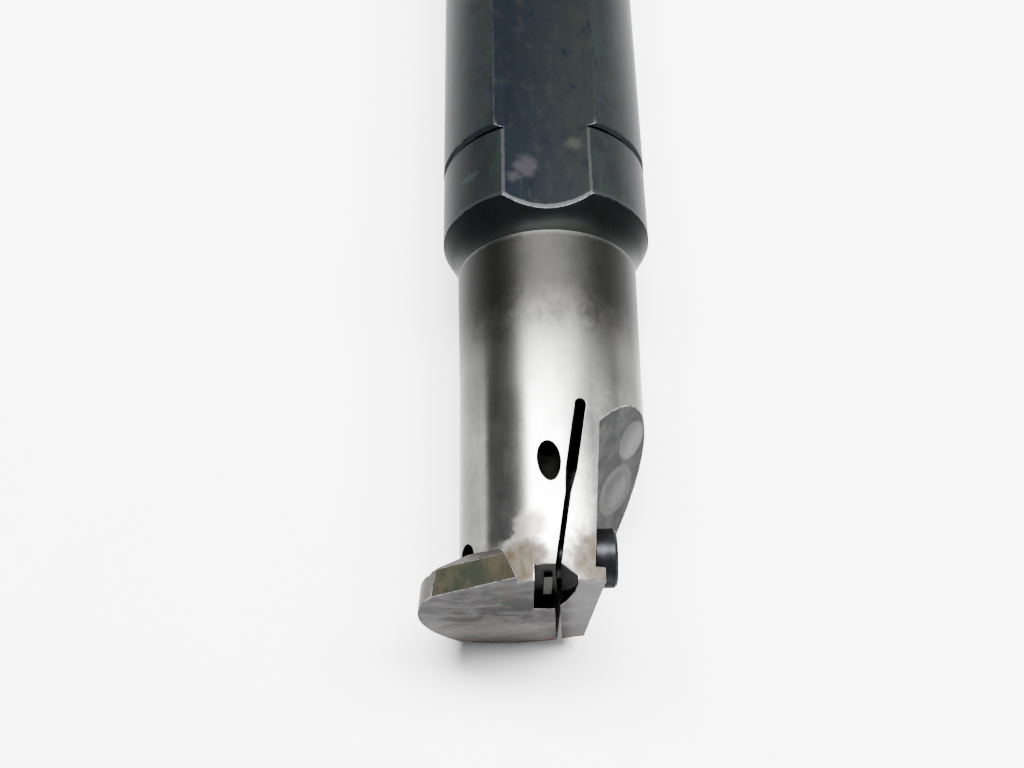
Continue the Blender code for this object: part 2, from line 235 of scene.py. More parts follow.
class BarSettings(PropertyGroup):
    round_steps: IntProperty(
        name="Round steps", description="Sides of the turned surfaces", default=240, min=48, max=480
    )
    edge_break: FloatProperty(
        name="Edge break", description="Width of the worn bevel along sharp edges", default=0.00007,
        min=0.00001, max=0.0003, subtype="DISTANCE", unit="LENGTH", precision=5,
    )
    blackened: colour_setting(
        "Blackened steel", "Colour of the shank, the collar and the flat", (0.0072, 0.0082, 0.0084)
    )
    bare: colour_setting("Bare steel", "Colour of the satin neck", (0.285, 0.283, 0.274))
    facet: colour_setting("Facet", "Olive brown film on the facet of the lobe", (0.046, 0.041, 0.029))
    worn: colour_setting("Worn edge", "Steel that shows where the black is rubbed off", (0.42, 0.43, 0.43))


class ScrewSettings(PropertyGroup):
    round_steps: IntProperty(
        name="Round steps", description="Sides of the screw", default=96, min=24, max=240
    )
    black_oxide: colour_setting("Black oxide", "Colour of the screw", (0.010, 0.0105, 0.011))


class StudioSettings(PropertyGroup):
    floor_size: FloatProperty(
        name="Floor size", description="Side of the square floor", default=6.0, min=1, max=20,
        subtype="DISTANCE", unit="LENGTH",
    )
    floor_colour: colour_setting("Floor", "Colour of the floor", (0.86, 0.86, 0.86))
    key_power: FloatProperty(
        name="Key light", description="Power of the long light overhead", default=125.0, min=0, max=1000
    )
    side_power: FloatProperty(
        name="Side light", description="Power of the weak light on the right", default=4.0, min=0, max=100
    )
    room_level: FloatProperty(
        name="Room", description="Strength of the light from all round", default=0.24, min=0, max=5
    )


# Modelling


def work_on(obj):
    bpy.ops.object.select_all(action="DESELECT")
    obj.select_set(True)
    bpy.context.view_layer.objects.active = obj


def edit(obj):
    work_on(obj)
    bpy.ops.object.mode_set(mode="EDIT")
    bpy.ops.mesh.select_all(action="SELECT")


def leave_edit():
    bpy.ops.object.mode_set(mode="OBJECT")


def tidy(obj):
    """Joins doubled points and turns all faces outwards."""
    edit(obj)
    bpy.ops.mesh.remove_doubles(threshold=MERGE_DISTANCE)
    bpy.ops.mesh.normals_make_consistent(inside=False)
    leave_edit()
    return obj


def place_in_mesh(obj):
    work_on(obj)
    bpy.ops.object.transform_apply(location=True, rotation=True, scale=True)
    return obj


def cut(obj, tool, operation="DIFFERENCE"):
    """Applies an exact Boolean and removes the tool."""
    work_on(obj)
    modifier = obj.modifiers.new(operation.lower(), "BOOLEAN")
    modifier.operation = operation
    modifier.solver = "EXACT"
    modifier.object = tool
    bpy.ops.object.modifier_apply(modifier=modifier.name)
    bpy.data.objects.remove(tool, do_unlink=True)
    return obj


def new_object(name, primitive, **given):
    """Adds a primitive, which is then the only thing selected."""
    bpy.ops.object.select_all(action="DESELECT")
    primitive(**given)
    bpy.context.object.name = name
    return bpy.context.object


def turned(name, rings, steps, centre=(0, 0, 0), direction=(0, 1, 0)):
    """A disc is drawn out ring by ring. Each ring is a radius and a distance along the direction."""
    direction = Vector(direction)
    radius, height = rings[0]
    obj = new_object(
        name,
        bpy.ops.mesh.primitive_circle_add,
        vertices=steps,
        radius=radius,
        fill_type="NGON",
        location=at(centre) + direction * height,
        rotation=direction.to_track_quat("Z", "Y").to_euler(),
    )
    edit(obj)
    for next_radius, next_height in rings[1:]:
        bpy.ops.mesh.extrude_region_move(
            TRANSFORM_OT_translate={"value": direction * (next_height - height)}
        )
        grow = next_radius / radius
        bpy.ops.transform.resize(
            value=(grow, grow, grow), center_override=at(centre) + direction * next_height
        )
        radius, height = next_radius, next_height
    leave_edit()
    place_in_mesh(obj)
    return tidy(obj)


def half_space(name, point, direction):
    """Large block that fills the side of the direction, from the plane through the point."""
    direction = Vector(direction).normalized()
    obj = new_object(
        name,
        bpy.ops.mesh.primitive_cube_add,
        size=1,
        location=at(point) + direction * REACH / 2,
        rotation=direction.to_track_quat("Z", "Y").to_euler(),
        scale=(2 * REACH, 2 * REACH, REACH),
    )
    return place_in_mesh(obj)


def block(name, low, high):
    low, high = Vector(low), Vector(high)
    middle, size = at((low + high) / 2), high - low
    obj = new_object(name, bpy.ops.mesh.primitive_cube_add, size=1, location=middle, scale=size)
    return place_in_mesh(obj)


def drill(name, radius, start, end, steps):
    """Round cutter from one point to another."""
    start = Vector(start)
    way = Vector(end) - start
    return turned(name, [(radius, 0), (radius, way.length)], steps, start, way.normalized())


def body_rings():
    """Rings of the turned body from the front face to the rear end."""
    cone_end_y = NECK_LENGTH - (COLLAR_RADIUS - NECK_REAR_RADIUS) / math.tan(CONE_ANGLE)
    centre_y = cone_end_y - CONE_FILLET * math.tan(CONE_ANGLE / 2)
    fillet = []
    for step in range(FILLET_STEPS + 1):
        turn = CONE_ANGLE * step / FILLET_STEPS
        radius = NECK_REAR_RADIUS + CONE_FILLET * (1 - math.cos(turn))
        fillet.append((radius, centre_y + CONE_FILLET * math.sin(turn)))
    groove_radius = COLLAR_RADIUS - GROOVE_DEPTH
    shank_start = COLLAR_END_Y + GROOVE_WIDTH
    return [
        (NECK_RADIUS, 0),
        (NECK_RADIUS, NECK_STRAIGHT_LENGTH),
        *fillet,
        (COLLAR_RADIUS, NECK_LENGTH),
        (COLLAR_RADIUS, COLLAR_END_Y),
        (groove_radius, COLLAR_END_Y),
        (groove_radius, shank_start),
        (SHANK_RADIUS - SHANK_BEVEL, shank_start),
        (SHANK_RADIUS, shank_start + SHANK_BEVEL),
        (SHANK_RADIUS, BAR_LENGTH - REAR_CHAMFER),
        (SHANK_RADIUS - REAR_CHAMFER, BAR_LENGTH),
    ]


def front_lobe(steps):
    """Lobe on the left of the head, with a relieved flank, a facet and chamfers behind."""
    rear = LOBE_THICKNESS + LOBE_CHAMFER_LENGTH
    rear_radius = FLANK_RADIUS - LOBE_THICKNESS * math.tan(FLANK_RELIEF)
    rings = [(FLANK_RADIUS, 0), (rear_radius, LOBE_THICKNESS), (rear_radius - LOBE_CHAMFER_DEPTH, rear)]
    lobe = turned("lobe", rings, steps, FLANK_CENTRE)
    along = Vector((0, REACH, 0))
    lower_arc = drill("lower arc", LOWER_RADIUS, LOWER_CENTRE - along, LOWER_CENTRE + along, steps)
    cut(lobe, lower_arc, "INTERSECT")
    on_facet = FACET_NORMAL * FACET_DISTANCE
    cut(lobe, half_space("facet", on_facet, FACET_NORMAL))
    behind = FACET_NORMAL * LOBE_CHAMFER_LENGTH + Vector((0, LOBE_CHAMFER_DEPTH, 0))
    cut(lobe, half_space("facet chamfer", on_facet + Vector((0, LOBE_THICKNESS, 0)), behind))
    right = (math.cos(LOBE_CUT_TURN), math.sin(LOBE_CUT_TURN), 0)
    corner = half_space("lobe corner", LOBE_CUT_POINT, right)
    cut(corner, half_space("upper half", (0, 0, 0), (0, 0, 1)), "INTERSECT")
    return cut(lobe, corner)


def slit_tool():
    """Upright blade, thin in front and thick behind, with a round rear end."""
    wide = SLIT_WIDTH / 2
    thin = SLIT_NARROW_WIDTH / 2
    stations = [
        (thin, SLIT_NARROW_LENGTH),
        (wide, SLIT_NARROW_LENGTH + SLIT_TAPER_LENGTH),
        (wide, SLIT_END_Y - wide),
    ]
    for step in range(1, SLIT_END_STEPS + 1):
        turn = math.pi / 2 * step / SLIT_END_STEPS
        half_width = max(wide * math.cos(turn), MERGE_DISTANCE)
        stations.append((half_width, SLIT_END_Y - wide + wide * math.sin(turn)))
    obj = new_object("slit", bpy.ops.mesh.primitive_plane_add, size=1, rotation=(math.pi / 2, 0, 0))
    obj.scale = (2 * thin, 2 * REACH, 1)
    place_in_mesh(obj)
    edit(obj)
    width, place = thin, -2 * SPARE
    bpy.ops.transform.translate(value=(0, place, 0))
    for next_width, next_place in stations:
        bpy.ops.mesh.extrude_region_move(TRANSFORM_OT_translate={"value": (0, next_place - place, 0)})
        grow = next_width / width
        bpy.ops.transform.resize(value=(grow, 1, 1), center_override=(0, next_place, 0))
        width, place = next_width, next_place
    leave_edit()
    turn = Matrix.Rotation(-SLIT_TURN, 4, "Z") @ Matrix.Rotation(-SLIT_LEAN, 4, "Y")
    obj.matrix_world = Matrix.Translation(AXIS) @ turn
    place_in_mesh(obj)
    return tidy(obj)


def seat_wall():
    """Points up the seat's right wall: an arc through three points of the front view."""
    first, middle, last = SEAT_ARC_FOOT, SEAT_ARC_MIDDLE, Vector((SEAT_RIGHT_X, NECK_RADIUS))
    a = middle - first
    b = last - first
    area = 2 * (a.x * b.y - a.y * b.x)
    centre = first + Vector(
        ((b.y * a.length_squared - a.y * b.length_squared) / area,
         (a.x * b.length_squared - b.x * a.length_squared) / area)
    )
    start = math.atan2(first.y - centre.y, first.x - centre.x)
    end = math.atan2(last.y - centre.y, last.x - centre.x)
    radius = (first - centre).length
    points = []
    for step in range(SEAT_WALL_STEPS + 1):
        turn = start + (end - start) * step / SEAT_WALL_STEPS
        points.append((centre.x + radius * math.cos(turn), centre.y + radius * math.sin(turn)))
    return points


def seat_tool():
    """Cutter for the empty insert seat: drawn upwards in steps, with the rib left standing."""
    wall = seat_wall()
    obj = new_object("seat", bpy.ops.mesh.primitive_plane_add, size=1)
    width = wall[0][0] - SEAT_LEFT_X
    low_y = -2 * SPARE
    obj.scale = (width, SEAT_DEPTH - low_y, 1)
    obj.location = at((SEAT_LEFT_X + width / 2, (SEAT_DEPTH + low_y) / 2, SEAT_FLOOR_Z))
    place_in_mesh(obj)
    edit(obj)
    height = SEAT_FLOOR_Z
    for x, z in [*wall, (SEAT_RIGHT_X, 2 * NECK_RADIUS)]:
        bpy.ops.mesh.extrude_region_move(TRANSFORM_OT_translate={"value": (0, 0, z - height)})
        grow = (x - SEAT_LEFT_X) / width
        bpy.ops.transform.resize(value=(grow, 1, 1), center_override=at((SEAT_LEFT_X, 0, z)))
        width, height = x - SEAT_LEFT_X, z
    leave_edit()
    tidy(obj)
    behind = (math.sin(SEAT_BEVEL_ANGLE), math.cos(SEAT_BEVEL_ANGLE), 0)
    cut(obj, half_space("seat bevel", (SEAT_BEVEL_X, SEAT_DEPTH, 0), behind))
    rib = block(
        "seat rib",
        (RIB_X - RIB_WIDTH / 2, SEAT_DEPTH - RIB_HEIGHT, RIB_LOW_Z),
        (RIB_X + RIB_WIDTH / 2, SEAT_DEPTH + RIB_HEIGHT, RIB_TOP_Z),
    )
    return cut(obj, rib)


def jaw_side_tool():
    """What is milled off the right of the head, down to the side flat and the run-out."""
    side = half_space("jaw side", (JAW_SIDE_X, 0, 0), JAW_SIDE_NORMAL)
    cut(side, half_space("behind lip", (0, LIP_THICKNESS, 0), (0, 1, 0)), "INTERSECT")
    return cut(side, half_space("run-out", RUNOUT_START, RUNOUT_NORMAL), "INTERSECT")


def dish_tool(mark):
    """Ball that leaves a shallow dish in the run-out under the mark."""
    on_plane = mark - RUNOUT_NORMAL * (mark - RUNOUT_START).dot(RUNOUT_NORMAL)
    ball = new_object(
        "dish",
        bpy.ops.mesh.primitive_uv_sphere_add,
        segments=DISH_STEPS,
        ring_count=DISH_STEPS // 2,
        radius=DISH_RADIUS,
        location=at(on_plane + RUNOUT_NORMAL * (DISH_RADIUS - DISH_DEPTH)),
    )
    return place_in_mesh(ball)


def lip_tool():
    """What is milled off the right of the lip at the front face."""
    side = half_space("lip side", (LIP_X, 0, 0), (math.cos(LIP_LEAN), 0, -math.sin(LIP_LEAN)))
    return cut(side, half_space("lip front", (0, LIP_THICKNESS + SPARE, 0), (0, -1, 0)), "INTERSECT")


def bore_tool():
    """Drill with a pointed tip, and the countersink at the shank's end."""
    tip = BORE_RADIUS / math.tan(DRILL_TIP_ANGLE)
    rings = [
        (MERGE_DISTANCE, BORE_END_Y),
        (BORE_RADIUS, BORE_END_Y + tip),
        (BORE_RADIUS, BAR_LENGTH - BORE_COUNTERSINK),
        (BORE_RADIUS + BORE_COUNTERSINK + SPARE, BAR_LENGTH + SPARE),
    ]
    return turned("bore", rings, HOLE_STEPS)


def along_screw(distance):
    """Point on the screw's axis, measured outwards from the spot face."""
    return SCREW_SEAT + SCREW_WAY * distance


def machined_body(steps):
    """The bar in one piece, in the order in which it would be machined."""
    body = turned("bar_machined", body_rings(), steps)
    cut(body, front_lobe(steps), "UNION")
    low, high = (-REACH, COLLAR_END_Y, FLAT_HEIGHT), (REACH, BAR_LENGTH + SPARE, REACH)
    cut(body, block("shank flat", low, high))
    low, high = (-REACH, -SPARE, COLLAR_FLAT_HEIGHT), (REACH, COLLAR_END_Y + GROOVE_WIDTH, REACH)
    cut(body, block("collar flat", low, high))
    cut(body, bore_tool())
    cut(body, jaw_side_tool())
    cut(body, dish_tool(REAR_DISH_MARK))
    cut(body, dish_tool(FRONT_DISH_MARK))
    cut(body, lip_tool())
    cut(body, seat_tool())
    cut(body, slit_tool())
    outside = OUTLET_MOUTH - (OUTLET_TARGET - OUTLET_MOUTH).normalized() * NECK_RADIUS
    hole_radius = SCREW_RADIUS + SCREW_CLEARANCE
    spot_radius = SCREW_HEAD_RADIUS + SCREW_CLEARANCE
    for name, radius, start, end, sides in (
        ("screw hole", hole_radius, along_screw(-SCREW_LENGTH), along_screw(SPARE), HOLE_STEPS),
        ("tap drill", TAP_DRILL_RADIUS, along_screw(-REACH), SCREW_SEAT, HOLE_STEPS),
        ("spot face", spot_radius, SCREW_SEAT, along_screw(REACH), SPOT_FACE_STEPS),
        ("coolant outlet", OUTLET_RADIUS, outside, OUTLET_TARGET, HOLE_STEPS),
    ):
        cut(body, drill(name, radius, start, end, sides))
    in_order(body)
    tidy(body)
    in_order(body)
    return body


def finish_at(centre, normal):
    """Which finish a face of the bar has, by its place and the way it faces."""
    x, y, z = centre
    across = math.hypot(x, z)
    under_skin = across < NECK_RADIUS - TOUCH
    in_seat = (
        -TOUCH < y < SEAT_DEPTH + TOUCH
        and SEAT_LEFT_X - HAIR < x < SEAT_RIGHT_X + HAIR
        and z > SEAT_FLOOR_Z - HAIR
    )
    if in_seat and (normal.y > -SQUARE or y > SEAT_WALL_Y):
        return RECESS
    off_slit = abs(x * math.cos(SLIT_TURN) - y * math.sin(SLIT_TURN) - z * math.sin(SLIT_LEAN))
    in_slit = off_slit < SLIT_WIDTH * SLIT_SHARE and y < SLIT_END_Y + HAIR
    if in_slit and abs(normal.y) < NEARLY_SQUARE and under_skin:
        return RECESS
    if normal.y < -SQUARE and y < TOUCH:
        return FACE
    if across > NECK_RADIUS + LOBE_STEP and y < LOBE_THICKNESS + LOBE_CHAMFER_LENGTH:
        return FACET if normal.dot(FACET_NORMAL) > SQUARE else FLANK
    on_runout = normal.dot(RUNOUT_NORMAL) > DISHED_FACING
    on_side = normal.dot(JAW_SIDE_NORMAL) > SQUARE or normal.x > MILLED_FACING
    if y < MILLED_END_Y and (on_runout or on_side) and under_skin:
        return MILLED
    off_screw = math.hypot(y - SCREW_SEAT.y, z - SCREW_SEAT.z)
    in_hole = x < SCREW_SEAT.x and off_screw < SCREW_RADIUS + SCREW_CLEARANCE + HAIR
    if in_hole and across < NECK_RADIUS:
        return RECESS
    in_bore = across < NECK_RADIUS - HOLE_DEPTH and BORE_FRONT_Y < y < BAR_LENGTH - BORE_COUNTERSINK
    if in_bore and normal.z < NEARLY_SQUARE:
        return RECESS
    return NECK if y < NECK_END_Y else BLACK


def part_finishes(body):
    for polygon in body.data.polygons:
        polygon.material_index = finish_at(polygon.center - AXIS, polygon.normal)


def in_order(obj):
    """Sorts a mesh by its places, since the Boolean leaves it in another order each time."""
    cursor = bpy.context.scene.cursor
    cursor.location = SORTED_FROM
    edit(obj)
    bpy.ops.mesh.sort_elements(type="CURSOR_DISTANCE", elements={"VERT", "EDGE", "FACE"})
    leave_edit()
    cursor.location = (0, 0, 0)


def break_edges(body, width):
    """Bevels the sharp outer edges a little, and gives the bevels the worn finish."""
    edit(body)
    bpy.ops.mesh.remove_doubles(threshold=width)
    bpy.ops.mesh.select_all(action="DESELECT")
    bpy.ops.mesh.select_mode(type="EDGE")
    shape = bmesh.from_edit_mesh(body.data)
    for edge in shape.edges:
        if len(edge.link_faces) != 2 or edge.calc_face_angle_signed(0) < CRISP_ANGLE:
            continue
        middle = (edge.verts[0].co + edge.verts[1].co) / 2 - AXIS
        finishes = {face.material_index for face in edge.link_faces}
        if finishes == {RECESS} or middle.y > BAR_LENGTH - TOUCH:
            continue
        edge.select_set(True)
    bmesh.update_edit_mesh(body.data)
    bpy.ops.mesh.bevel(
        offset=width, offset_type="OFFSET", segments=2, affect="EDGES", material=EDGE,
        clamp_overlap=False,
    )
    leave_edit()


def smooth(obj):
    """Smooth shading up to the sharp edges, with large faces kept flat."""
    work_on(obj)
    bpy.ops.object.shade_smooth_by_angle(angle=SHARP_ANGLE)
    modifier = obj.modifiers.new("weighted normals", "WEIGHTED_NORMAL")
    modifier.keep_sharp = True
    bpy.ops.object.modifier_apply(modifier=modifier.name)


def lay_in(obj, materials):
    obj.data.materials.clear()
    for material in materials:
        obj.data.materials.append(material)


# Material building


class Tree:
    """Adds nodes to one tree. A value given to a socket is linked if it is another node's output."""

    def __init__(self, tree):
        self.tree = tree

    def put(self, socket, value):
        if isinstance(value, bpy.types.NodeSocket):
            self.tree.links.new(value, socket)
        elif socket.type == "RGBA" and len(value) == 3:
            socket.default_value = (*value, 1)
        else:
            socket.default_value = value

    def node(self, kind, settings=(), **given):
        made = self.tree.nodes.new(kind)
        for name, value in dict(settings).items():
            setattr(made, name, value)
        for name, value in given.items():
            self.put(made.inputs[name.replace("_", " ")], value)
        return made

    def math(self, operation, *values):
        made = self.node("ShaderNodeMath", {"operation": operation})
        for socket, value in zip(made.inputs, values):
            self.put(socket, value)
        return made.outputs[0]

    def times(self, first, second):
        return self.math("MULTIPLY", first, second)

    def plus(self, first, second):
        return self.math("ADD", first, second)

    def minus(self, first, second):
        return self.math("SUBTRACT", first, second)

    def distance(self, first, second):
        made = self.node("ShaderNodeVectorMath", {"operation": "DISTANCE"})
        self.put(made.inputs[0], first)
        self.put(made.inputs[1], second)
        return made.outputs["Value"]

    def between(self, value, low, high, to_low=0.0, to_high=1.0):
        """Smooth step of a value from one range to another."""
        made = self.node("ShaderNodeMapRange", {"interpolation_type": "SMOOTHSTEP"})
        names = ("Value", "From Min", "From Max", "To Min", "To Max")
        for name, number in zip(names, (value, low, high, to_low, to_high)):
            self.put(made.inputs[name], number)
        return made.outputs["Result"]

    def blend(self, share, first, second):
        """Mixes two colours."""
        made = self.node("ShaderNodeMix", {"data_type": "RGBA"})
        for place, value in ((0, share), (6, first), (7, second)):
            self.put(made.inputs[place], value)
        return made.outputs[2]

    def lay(self, colour, mask, share, other):
        """Lays another colour over the first, by a share of the mask."""
        return self.blend(self.times(mask, share), colour, other)

    def noise(self, vector, scale, detail=3.0, roughness=0.5, distortion=0.0, move=(0, 0, 0)):
        """Noise at one scale, or at three scales along X, Y and Z."""
        if isinstance(scale, tuple):
            vector, scale = self.stretch(vector, scale, move), 1.0
        given = {"Scale": scale, "Detail": detail, "Roughness": roughness, "Distortion": distortion}
        return self.node("ShaderNodeTexNoise", Vector=vector, **given).outputs["Fac"]

    def stretch(self, vector, scale, move=(0, 0, 0)):
        return self.node("ShaderNodeMapping", Vector=vector, Scale=scale, Location=move).outputs[0]

    def parts(self, vector):
        return self.node("ShaderNodeSeparateXYZ", Vector=vector).outputs


def new_group(name, inputs, outputs):
    group = bpy.data.node_groups.new(name, "ShaderNodeTree")
    for label, kind, value in inputs:
        socket = group.interface.new_socket(name=label, in_out="INPUT", socket_type=kind)
        if value is not None:
            socket.default_value = value
    for label, kind in outputs:
        group.interface.new_socket(name=label, in_out="OUTPUT", socket_type=kind)
    tree = Tree(group)
    start = group.nodes.new("NodeGroupInput")
    end = group.nodes.new("NodeGroupOutput")
    return tree, start.outputs, end.inputs


def use_group(tree, name, **given):
    """Places a group that is built only once."""
    group = bpy.data.node_groups.get(name) or GROUPS[name](name)
    return tree.node("ShaderNodeGroup", {"node_tree": group}, **given).outputs


def scuffs(tree, place, size, amount=0.7):
    """Marks, blotches and grain that handling leaves."""
    return use_group(tree, "scuffs", Place=place["Place"], Size=size, Amount=amount)[:3]


def stain(tree, place, centre, radius, raggedness):
    given = {"Place": place, "Centre": centre, "Radius": radius, "Raggedness": raggedness}
    return use_group(tree, "stain_spot", **given)["Mask"]


def place_group(name):
    """Place on the bar in millimetres, with the distance from its axis."""
    numbers = [(label, "NodeSocketFloat") for label in ("X", "Y", "Z", "Radius")]
    tree, _, made = new_group(name, [], [("Place", "NodeSocketVector"), *numbers])
    coordinates = tree.node("ShaderNodeTexCoord").outputs["Object"]
    place = tree.stretch(coordinates, [MM] * 3, -AXIS * MM)
    x, y, z = tree.parts(place)[:3]
    for label, value in (("Place", place), ("X", x), ("Y", y), ("Z", z)):
        tree.put(made[label], value)
    squared = tree.plus(tree.times(x, x), tree.times(z, z))
    tree.put(made["Radius"], tree.math("SQRT", squared))
    return tree.tree


def scuff_group(name):
    """Fine marks of handling: specks, faint scratches along the bar and soft blotches."""
    tree, given, made = new_group(
        name,
        [
            ("Place", "NodeSocketVector", None),
            ("Size", "NodeSocketFloat", 1.0),
            ("Amount", "NodeSocketFloat", 0.5),
        ],
        [(label, "NodeSocketFloat") for label in ("Marks", "Blotches", "Grain")],
    )
    place, size = given["Place"], given["Size"]
    along = tree.noise(tree.stretch(place, (3.2, 0.25, 3.2)), size, 5, 0.65)
    across = tree.noise(tree.stretch(place, (0.6, 2.6, 0.6), (7, 3, 1)), size, 5, 0.65)
    lines = tree.math("MAXIMUM", tree.between(along, 0.60, 0.80), tree.between(across, 0.64, 0.82))
    specks = tree.between(tree.noise(tree.stretch(place, (5, 5, 5)), size, 2, 0.5), 0.66, 0.78)
    both = tree.math("MAXIMUM", lines, tree.times(specks, 0.6))
    tree.put(made["Marks"], tree.times(both, given["Amount"]))
    tree.put(made["Blotches"], tree.noise(tree.stretch(place, (0.35, 0.22, 0.35)), size, 4, 0.6))
    tree.put(made["Grain"], tree.noise(tree.stretch(place, (16, 9, 16)), size, 3, 0.6))
    return tree.tree


def spot_group(name):
    """Soft mask that fades from 1 at a centre to 0 at a radius, with a ragged edge."""
    tree, given, made = new_group(
        name,
        [
            ("Place", "NodeSocketVector", None),
            ("Centre", "NodeSocketVector", None),
            ("Radius", "NodeSocketFloat", 1.0),
            ("Raggedness", "NodeSocketFloat", 0.5),
        ],
        [("Mask", "NodeSocketFloat")],
    )
    share = tree.math("DIVIDE", tree.distance(given["Place"], given["Centre"]), given["Radius"])
    rough = tree.minus(tree.noise(given["Place"], 1.1, 2, 0.5), 0.5)
    rough = tree.times(rough, given["Raggedness"])
    tree.put(made["Mask"], tree.between(tree.plus(share, rough), 1.0, 0.35))
    return tree.tree


GROUPS = {"place_on_bar": place_group, "scuffs": scuff_group, "stain_spot": spot_group}


def new_material(name, metallic, specular=0.12, tint=0.12):
    material = bpy.data.materials.new(name)
    material.use_nodes = True
    tree = Tree(material.node_tree)
    shader = material.node_tree.nodes["Principled BSDF"]
    shader.inputs["Metallic"].default_value = metallic
    shader.inputs["Specular IOR Level"].default_value = specular
    shader.inputs["Specular Tint"].default_value = (tint, tint, tint, 1)
    return material, tree, shader, use_group(tree, "place_on_bar")


def bump(tree, shader, height, strength, distance):
    made = tree.node("ShaderNodeBump", Height=height, Strength=strength, Distance=distance)
    tree.put(shader.inputs["Normal"], made.outputs[0])


def coat(tree, shader, colour, grain, smoothest, roughest):
    """Links a surface's colour, and its roughness between two ends of the grain."""
    tree.put(shader.inputs["Base Color"], colour)
    tree.put(shader.inputs["Roughness"], tree.between(grain, 0.3, 0.7, smoothest, roughest))


def flat_masks(tree, place, ragged):
    """Masks of the two clamping flats, and of their rubbed margins and the collar flat's front tip."""
    _, x, y, z = place[:4]
    collar_height = COLLAR_FLAT_HEIGHT * MM
    collar_radius = COLLAR_RADIUS * MM
    collar_end = COLLAR_END_Y * MM
    on_shank = tree.between(y, collar_end - 0.01, collar_end)
    height = tree.between(on_shank, 0, 1, collar_height, FLAT_HEIGHT * MM)
    above = tree.minus(z, height)
    on_flat = tree.between(above, -0.03, -0.01)
    radius = tree.between(on_shank, 0, 1, collar_radius, SHANK_RADIUS * MM)
    half_width = tree.math("SQRT", tree.minus(tree.times(radius, radius), tree.times(height, height)))
    to_side = tree.minus(half_width, tree.math("ABSOLUTE", x))
    width = tree.between(on_shank, 0, 1, 0.42, 0.12)
    to_side = tree.plus(to_side, tree.times(ragged, 0.25))
    sides = tree.between(to_side, width, tree.minus(width, 0.12))
    to_corner = tree.math("ABSOLUTE", tree.minus(y, collar_end + 0.9))
    corner = tree.times(tree.between(to_corner, 0.9, 0.3), tree.between(to_side, 0.5, 0.2))
    # The tip ends where the cone comes up to the flat
    out = tree.math("SQRT", tree.plus(tree.times(x, x), collar_height ** 2))
    before_cone = tree.minus(NECK_LENGTH * MM, y)
    cone = tree.minus(collar_radius, tree.times(before_cone, math.tan(CONE_ANGLE)))
    to_tip = tree.plus(tree.minus(cone, out), tree.times(ragged, 0.2))
    tip = tree.between(to_tip, 0.36, 0.22)
    return on_flat, tree.math("MAXIMUM", sides, corner), tip


